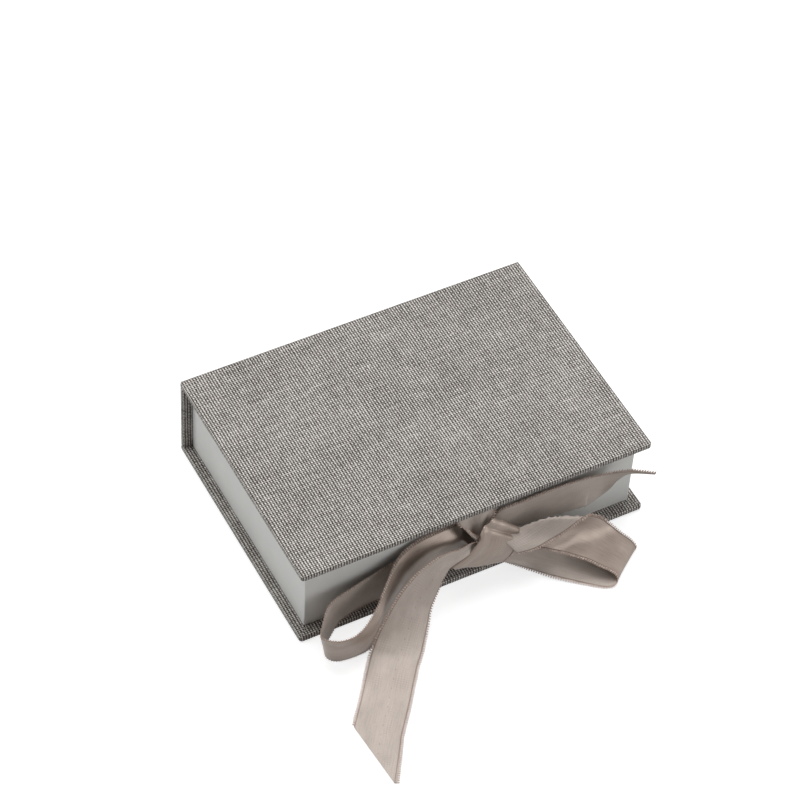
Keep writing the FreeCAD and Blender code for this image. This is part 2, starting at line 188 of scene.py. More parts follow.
def bookClothMaterial(name, look):
    # tone is a sum of cosines: one for the warp, one for the weft, the product of their
    # half turns where threads cross, and the warp times the weft's half turn for floats,
    # all on coordinates that stray by slow noise; then slubs and threads of uneven colour
    material, tree, shader = newMaterial(name)
    uv = addNode(tree, "UVMap", settings={"uv_map": "cloth"})[0]
    parts = addNode(tree, "SeparateXYZ", (uv,))
    whole, halves = [], []
    for part, system in ((parts[0], "warp"), (parts[1], "weft")):
        stray = addNode(tree, "Math SUBTRACT", (
            stretchedNoise(tree, uv, look[system + "Stray"]), 0.5))[0]
        strayed = addNode(tree, "Math MULTIPLY_ADD", (stray, look["stray"], part))[0]
        turn = addNode(tree, "Math MULTIPLY", (strayed, 2 * math.pi / look[system + "Pitch"]))[0]
        half = addNode(tree, "Math MULTIPLY", (turn, 0.5))[0]
        whole.append(addNode(tree, "Math COSINE", (turn,))[0])
        halves.append(addNode(tree, "Math COSINE", (half,))[0])
    warp, weft = whole
    crossing = addNode(tree, "Math MULTIPLY", halves)[0]
    floats = addNode(tree, "Math MULTIPLY", (warp, halves[1]))[0]
    slubs = addNode(tree, "MapRange", {
        "Value": stretchedNoise(tree, uv, look["slubGrain"], 0.0),
        "From Min": look["slubFrom"], "From Max": look["slubTo"], "To Min": 0.0, "To Max": 1.0})[0]
    tone = addNode(tree, "Math MULTIPLY", (warp, look["warp"]))[0]
    for part, share in ((weft, "weft"), (crossing, "crossing"), (floats, "floats"), (slubs, "slub")):
        tone = addNode(tree, "Math MULTIPLY_ADD", (part, look[share], tone))[0]
    for share, grains, detail in look["uneven"].values():
        centred = addNode(tree, "Math SUBTRACT", (stretchedNoise(tree, uv, grains, detail), 0.5))[0]
        tone = addNode(tree, "Math MULTIPLY_ADD", (centred, share, tone))[0]
    tone = addNode(tree, "Math ADD", (tone, 0.5))[0]
    colour = addNode(tree, "ValToRGB", (tone,), stops=look["ramp"])[0]
    height = addNode(tree, "Math MULTIPLY", (warp, look["rib"]))[0]
    height = addNode(tree, "Math MULTIPLY_ADD", (crossing, look["knuckle"], height))[0]
    bump = addNode(tree, "Bump", {
        "Strength": 1.0, "Distance": look["relief"] * mm, "Height": height})[0]
    feed(tree, shader, {"Base Color": colour, "Normal": bump, **look["surface"]})
    return material


def objectCoordinates(tree):  # the surface's own place, in millimetres
    own = addNode(tree, "TexCoord")["Object"]
    return addNode(tree, "VectorMath SCALE", {0: own, "Scale": 1 / mm})[0]


# Uncoated cover paper, about 120 g: matt and even, with a faint cloudy formation and
# a tooth of fibres about 0.4 mm long.
paperLook = {"pale": "#e4e4e1", "dark": "#dadad7", "cloud": 0.06, "tooth": 2.5, "relief": 0.03}
# Grey bookbinding board, pulped waste paper: rough, brownish grey, with dark flecks.
greyboardLook = {"pale": "#9c958a", "dark": "#7d766b", "cloud": 0.3, "tooth": 1.6, "relief": 0.08}
# Manila-grey card that fills the hollow between turn-ins: matt, warmer than the paper.
cardLook = {"pale": "#c9c4b8", "dark": "#b8b2a4", "cloud": 0.1, "tooth": 2.0, "relief": 0.03}
# What the three have in common: shares of tone, a fibre's slimness, and the surface.
pulpLook = {"cloudShare": 0.6, "fibreShare": 0.4, "slimness": 0.6,
            "surface": {"Roughness": 0.7, "Specular IOR Level": 0.3}}


def paperMaterial(name, look):
    # cloudy tone from slow noise, fibre tooth from fine noise as bump
    material, tree, shader = newMaterial(name)
    where = objectCoordinates(tree)
    tooth = look["tooth"]
    cloud = stretchedNoise(tree, where, (look["cloud"],) * 3, 4.0)
    fibres = stretchedNoise(tree, where, (tooth, tooth * pulpLook["slimness"], tooth), 3.0)
    tone = addNode(tree, "Math MULTIPLY", (cloud, pulpLook["cloudShare"]))[0]
    tone = addNode(tree, "Math MULTIPLY_ADD", (fibres, pulpLook["fibreShare"], tone))[0]
    colour = addNode(tree, "ValToRGB", (tone,), stops=((0.3, look["dark"]), (0.7, look["pale"])))[0]
    bump = addNode(tree, "Bump", {
        "Strength": 1.0, "Distance": look["relief"] * mm, "Height": fibres})[0]
    feed(tree, shader, {"Base Color": colour, "Normal": bump, **pulpLook["surface"]})
    return material


# Single-face polyester satin. Its face is lustrous and deeper in tone, because the warp
# floats lie along the ribbon; its back is paler and dull, with patches of fine twill.
# Both keep a dull line beside each selvedge, and the long end a row of stitch marks.
satinLook = {
    # grains to the millimetre along, across and off the cloth; the streaks are the
    # floats, drawn coarser than real
    "streaks": (0.12, 3.2, 0), "cloud": (0.10, 0.16, 5), "patches": (0.07, 0.10, 8),
    "specks": (1.5, 2.0, 2), "streakShare": 0.5, "cloudShare": 0.5,
    "patchFrom": 0.5, "patchTo": 0.66, "patchLeast": 0.08,
    # mm
    "twillPitch": 1.15, "lineInset": 1.0, "lineWidth": 0.45, "relief": 0.04,
    "stitchPitch": 4.8, "stitchLength": 1.2, "stitchInset": 9.5, "stitchWidth": 0.35,
    "lineShare": 0.85, "stitchShare": 0.7,
    "gloss": {"Anisotropic": 0.75, "Anisotropic Rotation": 0.25, "Specular IOR Level": 0.5},
}
satinFace = {
    **satinLook, "dark": "#84756b", "pale": "#aa9b90", "line": "#4a3e37",
    "twillShare": 0.08, "speckShare": 0.10, "side": {"Roughness": 0.34, "Metallic": 0.36},
}
satinBack = {
    **satinLook, "dark": "#a3978e", "pale": "#c2b6ad", "line": "#806f64",
    "twillShare": 0.16, "speckShare": 0.32, "side": {"Roughness": 0.52, "Metallic": 0.06},
}


def bandMask(tree, value, middle, halfWidth):
    # 1 at the middle, falling by smoothstep to 0 at half a width away
    offset = addNode(tree, "Math SUBTRACT", (value, middle))[0]
    away = addNode(tree, "Math ABSOLUTE", (offset,))[0]
    return addNode(tree, "MapRange", {
        "Value": away, "From Min": 0.0, "From Max": halfWidth, "To Min": 1.0, "To Max": 0.0,
    }, {"interpolation_type": "SMOOTHSTEP"})[0]


def satinMaterial(name, look, width, stitched=False, edge=None):
    # tone from noise long along the ribbon, and from twill, sin(u + v) sin(u - v), where
    # a slow noise lets it show; the dull line from the distance to the selvedge. A CAD
    # node has no map: there the ribbon runs along Y, with its selvedge at X = edge
    material, tree, shader = newMaterial(name)
    if edge is None:
        uv = addNode(tree, "UVMap", settings={"uv_map": "cloth"})[0]
        # the floats lie along the ribbon, so the gloss spreads across it
        feed(tree, shader, {"Tangent": addNode(tree, "Tangent", settings={
            "direction_type": "UV_MAP", "uv_map": "cloth"})[0]})
    else:
        uv = addNode(tree, "Mapping", {
            "Vector": objectCoordinates(tree), "Rotation": (0, 0, math.pi / 2),
            "Location": (0, -edge, 0)})[0]
    along, across = addNode(tree, "SeparateXYZ", (uv,))[:2]
    streaks = stretchedNoise(tree, uv, look["streaks"])
    cloud = stretchedNoise(tree, uv, look["cloud"])
    slants = []
    for operation in ("ADD", "SUBTRACT"):
        slant = addNode(tree, "Math " + operation, (along, across))[0]
        slant = addNode(tree, "Math MULTIPLY", (slant, math.pi / look["twillPitch"]))[0]
        slants.append(addNode(tree, "Math SINE", (slant,))[0])
    twill = addNode(tree, "Math MULTIPLY", slants)[0]
    patches = addNode(tree, "MapRange", {
        "Value": stretchedNoise(tree, uv, look["patches"], 1.0), "From Min": look["patchFrom"],
        "From Max": look["patchTo"], "To Min": look["patchLeast"], "To Max": 1.0})[0]
    twill = addNode(tree, "Math MULTIPLY", (twill, look["twillShare"]))[0]
    twill = addNode(tree, "Math MULTIPLY", (twill, patches))[0]
    specks = addNode(tree, "Math SUBTRACT", (stretchedNoise(tree, uv, look["specks"], 1.0), 0.5))[0]
    tone = addNode(tree, "Math MULTIPLY", (streaks, look["streakShare"]))[0]
    tone = addNode(tree, "Math MULTIPLY_ADD", (cloud, look["cloudShare"], tone))[0]
    tone = addNode(tree, "Math ADD", (tone, twill))[0]
    tone = addNode(tree, "Math MULTIPLY_ADD", (specks, look["speckShare"], tone))[0]
    satin = addNode(tree, "ValToRGB", (tone,), stops=((0.25, look["dark"]), (0.75, look["pale"])))[0]
    offMiddle = addNode(tree, "Math SUBTRACT", (across, width / 2))[0]
    offMiddle = addNode(tree, "Math ABSOLUTE", (offMiddle,))[0]
    onLine = bandMask(tree, offMiddle, width / 2 - look["lineInset"], look["lineWidth"])
    marked = addNode(tree, "Math MULTIPLY", (onLine, look["lineShare"]))[0]
    if stitched:
        pitch = look["stitchPitch"]
        inPitch = addNode(tree, "Math MODULO", (along, pitch))[0]
        dash = bandMask(tree, inPitch, pitch / 2, look["stitchLength"] / 2)
        row = bandMask(tree, across, look["stitchInset"], look["stitchWidth"])
        stitches = addNode(tree, "Math MULTIPLY", (dash, row))[0]
        stitches = addNode(tree, "Math MULTIPLY", (stitches, look["stitchShare"]))[0]
        marked = addNode(tree, "Math MAXIMUM", (marked, stitches))[0]
    # in a mix of colours, 6 and 7 are the two colours and 2 is the result
    colour = addNode(tree, "Mix", {"Factor": marked, 6: satin, 7: linear(look["line"])},
                     {"data_type": "RGBA"})[2]
    height = addNode(tree, "Math ADD", (streaks, twill))[0]
    height = addNode(tree, "Math SUBTRACT", (height, marked))[0]
    bump = addNode(tree, "Bump", {
        "Strength": 0.6, "Distance": look["relief"] * mm, "Height": height})[0]
    feed(tree, shader, {"Base Color": colour, "Normal": bump, **look["gloss"], **look["side"]})
    return material


# The picot loops are the ribbon's own weft yarn, softer and paler than the satin.
picotLook = {"pale": "#d9c6bb", "dark": "#9e8578", "grains": (1.6, 1.6, 1.6), "roughness": 0.7}


def picotMaterial(name, look):  # tone from noise about as fine as the yarn
    material, tree, shader = newMaterial(name)
    fibres = stretchedNoise(tree, objectCoordinates(tree), look["grains"], 1.0)
    colour = addNode(tree, "ValToRGB", (fibres,), stops=((0.3, look["dark"]), (0.65, look["pale"])))[0]
    feed(tree, shader, {"Base Color": colour, "Roughness": look["roughness"]})
    return material


ribbonWidth = 22.0
bookCloth = bookClothMaterial("melangeBookCloth", bookClothLook)
coverPaper = paperMaterial("lightGreyCoverPaper", paperLook)
greyboard = paperMaterial("greyBookbindingBoard", greyboardLook)
infillCard = paperMaterial("infillCard", cardLook)
ribbonFace = satinMaterial("taupeSatinRibbonFace", satinFace, ribbonWidth)
ribbonBack = satinMaterial("taupeSatinRibbonBack", satinBack, ribbonWidth)
stitchedBack = satinMaterial("taupeRibbonBackWithStitchMarks", satinBack, ribbonWidth, stitched=True)
picotYarn = picotMaterial("taupePicotYarn", picotLook)
print("materials made")


def outlinePoints(low, high, radii, cornerSteps, sideStep, inset):
    # a rectangle with rounded corners, drawn in by each inset: corner centres move in
    # once the inset passes the radius, and points along a side are shared out evenly
    low, high = np.asarray(low[:2], float), np.asarray(high[:2], float)
    inset = np.asarray(inset, float)[:, None]
    corners = ((1, 0, -90), (1, 1, 0), (0, 1, 90), (0, 0, 180))   # right, back, start of arc
    arcs = []
    for (right, back, start), radius in zip(corners, radii):
        turn = np.radians(start + np.linspace(0, 90, cornerSteps + 1))[None, :]
        draw = np.maximum(inset, radius)
        centreX = (high[0] - draw) if right else (low[0] + draw)
        centreY = (high[1] - draw) if back else (low[1] + draw)
        reach = np.maximum(radius - inset, 0)
        arcs.append(np.stack([centreX + reach * np.cos(turn), centreY + reach * np.sin(turn)], -1))
    lines, sides = [], []
    spans = high - low
    for k, arc in enumerate(arcs):
        following = arcs[(k + 1) % 4]
        count = max(2, int(spans[1 - k % 2] / sideStep))
        share = np.linspace(0, 1, count + 1)[1:-1][None, :, None]
        lines += [arc, arc[:, -1:] * (1 - share) + following[:, :1] * share]
        half = cornerSteps // 2
        sides += [(k + 3) % 4] * half + [k] * (cornerSteps + 1 - half) + [k] * (count - 1)
    return np.concatenate(lines, 1), np.array(sides)


def sweptCover(name, low, high, radii, profile, material, wallUv=False,
               cornerSteps=8, sideStep=5.0):
    # a closed skin: the profile's (inset, z) points carried round the outline. The
    # cloth's own coordinates unroll over the edge: along the side, and the run of the
    # profile from where it leaves the plan; wallUv gives (run round the outline, z)
    profile = np.asarray(profile, float)
    plan, sides = outlinePoints(low, high, radii, cornerSteps, sideStep, profile[:, 0])
    rows, columns = plan.shape[:2]
    height = np.repeat(profile[:, 1:2], columns, 1)
    points = np.concatenate([plan, height[..., None]], -1)
    faces = gridFaces(rows, columns, closeColumns=True)
    run = profile[0, 0] - runAlong(profile)
    faceSide = np.tile(sides, rows - 1)[:, None] * np.ones((1, 4), int)
    row, column = faces // columns, faces % columns
    flat = points.reshape(-1, 3)[faces]
    if wallUv:
        line = plan[rows // 2]
        along = runAlong(line)
        lap = along[-1] + np.linalg.norm(line[0] - line[-1])
        u = along[column]
        u = np.where((column == 0) & (column[:, :1] > columns // 2), lap, u)
        uv = np.stack([u, flat[..., 2]], -1)
    else:
        unrolled = run[row]
        # sides in order: right, back, left, front
        u = np.choose(faceSide, [high[0] - unrolled, flat[..., 0], low[0] + unrolled, flat[..., 0]])
        v = np.choose(faceSide, [flat[..., 1], high[1] - unrolled, flat[..., 1], low[1] + unrolled])
        uv = np.stack([u, v], -1)
    return meshPiece(name, points, faces, material, uv)


def tidyNormals(piece, mergeDistance=0.001):
    # merges doubled points, drops flat faces and turns every face outwards
    work = bmesh.new()
    work.from_mesh(piece.data)
    bmesh.ops.remove_doubles(work, verts=work.verts, dist=mergeDistance * mm)
    bmesh.ops.dissolve_degenerate(work, edges=work.edges, dist=mergeDistance * mm)
    bmesh.ops.recalc_face_normals(work, faces=work.faces)
    work.to_mesh(piece.data)
    work.free()
    return piece


def quarterTurn(inset, z, radius, start, steps=5):
    # points of a quarter circle about (inset, z), from the start angle, 90 degrees on
    turn = np.radians(start + np.linspace(0, 90, steps + 1))
    return [(inset + radius * math.cos(a), z + radius * math.sin(a)) for a in turn]


def coveredBoard(name, low, high, look, outerUp):
    # profile of a cloth-covered board: outer face, rounded edge, turn-in, its step
    # down to the board, and the board's face under the card
    top, bottom = (high[2], low[2]) if outerUp else (low[2], high[2])
    up = 1 if outerUp else -1
    r = look["edgeRadius"]
    reach = min(high[0] - low[0], high[1] - low[1]) / 2
    outer = [(i, top) for i in (reach, *look["rings"])]
    outer += [(i, top - up * (r - z)) for i, z in quarterTurn(r, 0, r, 90)]
    inner = [(i, bottom + up * (r + z)) for i, z in quarterTurn(r, 0, r, 180)]
    lip = look["turnIn"] - look["lipRadius"]
    under = bottom + up * (clothGauge + look["sink"])
    inner += [(lip, bottom), (look["turnIn"], bottom + up * look["lipRadius"]),
              (look["turnIn"], under), (reach, under)]
    return tidyNormals(sweptCover(name, low, high, look["corners"], outer + inner, bookCloth))


coverLook = {
    "rings": (30, 8),                             # insets of the flat face's own rings
    "edgeRadius": 0.85, "turnIn": 14.0, "lipRadius": 0.12, "sink": 0.05,
    "corners": (1.6, 0.5, 0.5, 1.6),              # front right, back right, back left, front left
}
place(coveredBoard("lidCover", lidLow, lidHigh, coverLook, True), "lid", "bookcloth", "lid_cloth")
place(coveredBoard("baseCover", caseLow, caseHigh, coverLook, False),
      "root", "bookcloth", "base_cloth")


spineLook = {"endRadius": 0.7, "edgeRadius": 0.3}


def spineSleeve(low, high, look):
    # the spine's cloth: a thin upright plate, its ends rounded, closed at both levels
    middle = (high[1] - low[1]) / 2
    r = look["edgeRadius"]
    profile = [(middle, low[2]), (r, low[2]), (0, low[2] + r), (0, high[2] - r), (r, high[2]),
               (middle, high[2])]
    return tidyNormals(sweptCover("spineCover", low, high, (look["endRadius"],) * 4, profile,
                                  bookCloth, wallUv=True))


place(spineSleeve(spineLow, spineHigh, spineLook), "root", "bookcloth", "spine_cloth")


hingeLook = {"proud": 0.12, "sunk": 0.02, "reach": 3.2, "depth": 0.3, "endGap": 0.3,
             "rows": 49, "columns": 35, "evenness": 0.25}


def hingeStrip(look):
    # the cloth across the open joint: a strip that swells out by sin squared and sinks
    # into the spine and the lid's edge at its borders, with a flat back
    level = (spineHigh[2] + lidUnder) / 2
    t = np.linspace(0, 1, look["rows"])
    # rows crowd towards the joint: a share e of s and the rest of s cubed
    s = 2 * t - 1
    z = level + look["reach"] * (look["evenness"] * s + (1 - look["evenness"]) * s ** 3)
    swell = spineHigh[1] - look["sunk"] + (look["proud"] + look["sunk"]) * np.sin(np.pi * t) ** 2
    back = np.full_like(z, spineHigh[1] - look["depth"])
    ringY = np.r_[swell, back[::-1]]
    ringZ = np.r_[z, z[::-1]]
    x = np.linspace(caseLow[0] + look["endGap"], caseHigh[0] - look["endGap"], look["columns"])
    points = np.stack(np.broadcast_arrays(x[:, None], ringY, ringZ), -1)
    faces = gridFaces(*points.shape[:2], closeColumns=True)
    uv = points.reshape(-1, 3)[faces][..., [0, 2]]
    piece = meshPiece("hingeStrip", points, faces, bookCloth, uv)
    work = bmesh.new()
    work.from_mesh(piece.data)
    bmesh.ops.holes_fill(work, edges=[e for e in work.edges if e.is_boundary], sides=0)
    bmesh.ops.recalc_face_normals(work, faces=work.faces)
    work.to_mesh(piece.data)
    work.free()
    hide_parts("hinge_cloth")
    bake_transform(piece)


hingeStrip(hingeLook)
print("cloth covers made")


trayLook = {"corner": 0.55, "rim": 0.35, "turnDown": 12.0, "flange": 10.0, "paper": 0.2,
            "footEdge": 0.15, "rimGap": 0.02, "cornerSteps": 4, "sideStep": 20.0}


def traySkin(look):
    # one closed ring of paper: out over the flange, up the wall, over the rounded rim
    # and down inside, then back along its own inner face
    wallLow, wallHigh = cornersOf("tray_front_wall")
    wall = wallHigh[1] - wallLow[1] + 2 * look["paper"]
    bottom, top = trayLow[2], trayHigh[2]
    paper, r, foot = look["paper"], look["rim"], look["footEdge"]
    outside = [(look["flange"], bottom), (foot, bottom), (0, bottom + foot)]
    outside += [(i, top - r + z) for i, z in reversed(quarterTurn(r, 0, r, 90))]
    outside += [(wall - r + i, top - r + z) for i, z in reversed(quarterTurn(0, 0, r, 0))]
    outside += [(wall, top - look["turnDown"])]
    underRim = top - paper - look["rimGap"]
    inside = [(wall - paper, top - look["turnDown"]), (wall - paper, underRim), (paper, underRim),
              (paper, bottom + paper), (look["flange"], bottom + paper)]
    profile = outside + inside + outside[:1]
    return tidyNormals(sweptCover(
        "trayWrap", trayLow, trayHigh, (look["corner"],) * 4, profile, coverPaper,
        cornerSteps=look["cornerSteps"], sideStep=look["sideStep"]))


place(traySkin(trayLook), "root", "tray_paper", "tray_wrap")
cadFinishes = {
    greyboard: ("base_board", "lid_board", "spine_board", "tray_front_wall", "tray_back_wall",
                "tray_left_wall", "tray_right_wall", "tray_floor_board"),
    infillCard: ("base_infill", "lid_infill"),
    coverPaper: ("tray_wall_lining", "tray_floor_lining", "lid_lining"),
}
# the ribbon's glued ends: its back, on the node's own place
for nodeName in ("base_ribbon_anchor", "lid_ribbon_anchor"):
    gluedEnd = "taupeRibbonGluedEnd" + nodeName[0].upper()
    finish = satinMaterial(gluedEnd, satinBack, ribbonWidth, edge=cornersOf(nodeName)[0][0])
    cadFinishes[finish] = (nodeName,)
for finish, nodeNames in cadFinishes.items():
    for nodeName in nodeNames:
        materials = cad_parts[nodeName].data.materials
        materials.clear()
        materials.append(finish)
print("tray made")


bowHeight = 42.3      # heights of the stations are for a lid underside at this level
rise = lidUnder / bowHeight
ribbonLook = {
    "gauge": 0.28, "selvedge": 0.7, "step": 0.8,   # mm
    "across": 25, "tipSteps": 24, "fewestRows": 8,
    "rest": 0.32, "settle": 0.4,                   # mm: least height, and how softly reached
    "waveTurn": 0.21, "waveSkew": 3,               # radians a millimetre along, and in all across
    # how soon a fold opens, how sharply and how much it rounds, and the mm of flap for that
    "foldOpen": 5, "foldSharp": 16, "foldSwell": 0.5, "foldFull": 3,
}


def smoothRows(points, steps=12):  # steps to a span
    # Catmull-Rom through the rows: half of 2 P1 + (P2 - P0) t + (2 P0 - 5 P1 + 4 P2 - P3) t^2
    # + (3 P1 - P0 - 3 P2 + P3) t^3, for all spans at once
    padded = np.concatenate([points[:1], points, points[-1:]])
    p0, p1, p2, p3 = (padded[k:len(padded) - 3 + k][:, None] for k in range(4))
    t = np.linspace(0, 1, steps, endpoint=False).reshape(1, -1, *[1] * (points.ndim - 1))
    curve = 0.5 * (2 * p1 + (p2 - p0) * t + (2 * p0 - 5 * p1 + 4 * p2 - p3) * t ** 2
                   + (3 * p1 - p0 - 3 * p2 + p3) * t ** 3)
    return np.concatenate([curve.reshape(-1, *points.shape[1:]), points[-1:]])


def unit(vectors):  # the same directions with length 1
    return vectors / np.maximum(np.linalg.norm(vectors, axis=-1, keepdims=True), 1e-9)


def placed(points):  # (X, distance in front of the tray, height) in the part's frame
    points = np.asarray(points, float)
    return np.stack([points[..., 0], trayFront - points[..., 1], points[..., 2] * rise], -1)


def selvedges(stations):
    # a station is a point, the direction across, the share of the width that shows and,
    # where the rest is folded over, the place of the far selvedge. Returns for each the
    # near selvedge, the crease or far edge, and the far selvedge
    near = placed([station[0] for station in stations])
    across = unit(np.array([station[1] for station in stations], float) * (1, -1, 1))
    share = np.array([[station[2]] for station in stations], float)
    crease = near + across * ribbonWidth * share
    far = np.array([placed(station[3]) if len(station) > 3 else crease[k]
                    for k, station in enumerate(stations)])
    return np.stack([near, crease, far], 1)


def evenly(rows, values, step):
    # the rows again at even steps along their middle line, their values, and the steps
    run = runAlong(rows[:, :2].mean(1))
    at = np.linspace(0, run[-1], max(ribbonLook["fewestRows"], int(run[-1] / step)))
    again = readAt(rows.reshape(len(rows), -1), run, at)
    return again.reshape(-1, *rows.shape[1:]), np.interp(at, run, values), at


def ribbonGrid(stations, tips, pleats, gather=1.0, cup=0.0, wave=0.0, lift=-1.0):
    # rows of points across the ribbon. Where the width is gathered to the share g, pleats
    # that are sines of slope sqrt(2 / g^2 - 2) would keep its true width, and gather is
    # how much of them is drawn. The cup swells by 1 - (2v - 1)^2 times its mm at even
    # places along, and the wave is a slow sine. Where the ribbon is folded over, the far
    # part goes back from the crease to its selvedge, and lift is how far it stands off.
    # The tips go on where the cut slants. Near the floor a height h turns into
    # log(1 + e^h), which stays above it. Returns the points, their place on the cloth,
    # each row's normal, and which rows have the full width
    edges = smoothRows(selvedges(stations))
    limit = np.ones(len(edges))
    if tips:
        ends = selvedges(tips)
        near = np.concatenate([edges[-1:, 0], ends[:, 0]])
        aims = np.concatenate([unit(edges[-1:, 1] - edges[-1:, 0]), unit(ends[:, 1] - ends[:, 0])])
        shares = np.r_[1, [end[2] for end in tips]]
        tipRows = np.concatenate([near, aims, shares[:, None]], 1)
        rows = smoothRows(tipRows, ribbonLook["tipSteps"])[1:]
        tipFar = rows[:, :3] + unit(rows[:, 3:6]) * ribbonWidth
        edges = np.concatenate([edges, np.stack([rows[:, :3], tipFar, tipFar], 1)])
        limit = np.concatenate([limit, rows[:, 6]])
    edges, limit, along = evenly(edges, limit, ribbonLook["step"])
    across, back = edges[:, 1] - edges[:, 0], edges[:, 2] - edges[:, 1]
    front, flap = (np.linalg.norm(part, axis=1) for part in (across, back))
    share = np.minimum((front + flap) / ribbonWidth, 1)[:, None]
    crease = (front / (front + flap))[:, None]
    tangent = unit(np.gradient(edges[:, :2].mean(1), axis=0))
    normal = unit(np.cross(tangent, across))
    inset = ribbonLook["selvedge"] / ribbonWidth
    v = np.linspace(inset, 1 - inset, ribbonLook["across"])[None, :] * limit[:, None]
    onFront = np.minimum(v / crease, 1)
    onFlap = np.maximum(v - crease, 0) / np.maximum(1 - crease, 1e-6)
    slope = np.sqrt(np.maximum(2 / share ** 2 - 2, 0))
    swing = gather * ribbonWidth * share * slope / (2 * np.pi * pleats)
    offset = swing * np.sin(2 * np.pi * pleats * (v - 0.5))
    cupAt = np.interp(along / along[-1], np.linspace(0, 1, np.size(cup)), np.atleast_1d(cup))
    offset = offset + cupAt[:, None] * (1 - (2 * v - 1) ** 2)
    turn = along[:, None] * ribbonLook["waveTurn"] + ribbonLook["waveSkew"] * v
    offset = offset + wave * np.sin(turn)
    folded = np.minimum(onFlap * ribbonLook["foldOpen"], 1)
    rounding = np.exp(-((v - crease) * ribbonLook["foldSharp"]) ** 2)
    rounding = rounding * np.minimum(flap[:, None] / ribbonLook["foldFull"], 1)
    folded = folded + ribbonLook["foldSwell"] * rounding
    offset = offset + lift * folded * (flap[:, None] > 0.01)
    points = (edges[:, :1] + onFront[..., None] * across[:, None] + onFlap[..., None] * back[:, None]
              + offset[..., None] * normal[:, None])
    above = (points[..., 2] - ribbonLook["rest"]) / ribbonLook["settle"]
    points[..., 2] = ribbonLook["rest"] + ribbonLook["settle"] * np.logaddexp(0, above)
    uv = np.stack(np.broadcast_arrays(along[:, None], v * ribbonWidth), -1)
    return points, uv, normal, limit > 0.995


picotLoop = {"pitch": 1.12, "reach": 1.0, "root": 0.3, "spread": 0.17, "radius": 0.26,
             "turns": 6, "sides": 5, "uneven": 0.06}


def picotRow(points, inner, normal, loop):
    # little loops of yarn along an edge line: in each, a half turn out of the edge and
    # back, (-s cos a) along and (reach sin a) outwards, as a tube of few sides
    run = runAlong(points)
    count = max(2, int(run[-1] / loop["pitch"]))
    at = (np.arange(count) + 0.5) * run[-1] / count
    centre = readAt(points, run, at)
    along = unit(readAt(np.gradient(points, axis=0), run, at))
    outward = unit(readAt(points - inner, run, at))
    up = unit(readAt(normal, run, at))
    a = np.linspace(0, np.pi, loop["turns"])[None, :, None]
    reach = loop["reach"] * (1 + loop["uneven"] * random.standard_normal((count, 1, 1)))
    path = (centre[:, None] - along[:, None] * np.cos(a) * loop["pitch"] * loop["spread"]
            + outward[:, None] * (reach * np.sin(a) - loop["root"] * (1 - np.sin(a))))
    out = unit(outward[:, None] * np.sin(a) - along[:, None] * np.cos(a))
    ring = np.linspace(0, 2 * np.pi, loop["sides"], endpoint=False)[:, None]
    tube = path[:, :, None] + loop["radius"] * (
        out[:, :, None] * np.cos(ring) + up[:, None, None] * np.sin(ring))
    one = gridFaces(loop["turns"], loop["sides"], closeColumns=True)
    size = loop["turns"] * loop["sides"]
    faces = one[None] + (np.arange(count) * size)[:, None, None]
    return tube.reshape(-1, 3), faces.reshape(-1, 4)


def picots(name, grid, normal, full, body, both):
    # picot rows along both selvedges of a ribbon grid, or the far one alone, as one
    # piece. The far one stops where the ribbon isn't full, because that edge is cut
    points, faces = picotRow(grid[full, -1], grid[full, -2], normal[full], picotLoop)
    if both:
        morePoints, moreFaces = picotRow(grid[:, 0], grid[:, 1], normal, picotLoop)
        faces = np.concatenate([faces, moreFaces + len(points)])
        points = np.concatenate([points, morePoints])
    return place(meshPiece(name, points, faces, picotYarn), body, "satin")


def ribbonPiece(name, shaped, look, closed=False):
    # the satin between the selvedges, thickened, with its picots as a second piece. The
    # first material is on the side that the grid faces, the second on the other. The cut
    # is the strand's flat length and how much of that is a slant at its end; rests names
    # what it hangs from or lies on
    grid, uv, normal, full = shaped
    faces = gridFaces(*grid.shape[:2], closeRows=closed)
    piece = meshPiece(name, grid, faces, look["sides"][0], uv.reshape(-1, 2)[faces])
    piece.data.materials.append(look["sides"][1])
    solid = piece.modifiers.new("gauge", "SOLIDIFY")
    solid.thickness = ribbonLook["gauge"] * mm
    solid.offset = 0
    solid.material_offset = 1
    place(piece, look["body"], "satin", look["node"])
    edging = picots(name + "Picots", grid, normal, full, look["body"], both=not closed)


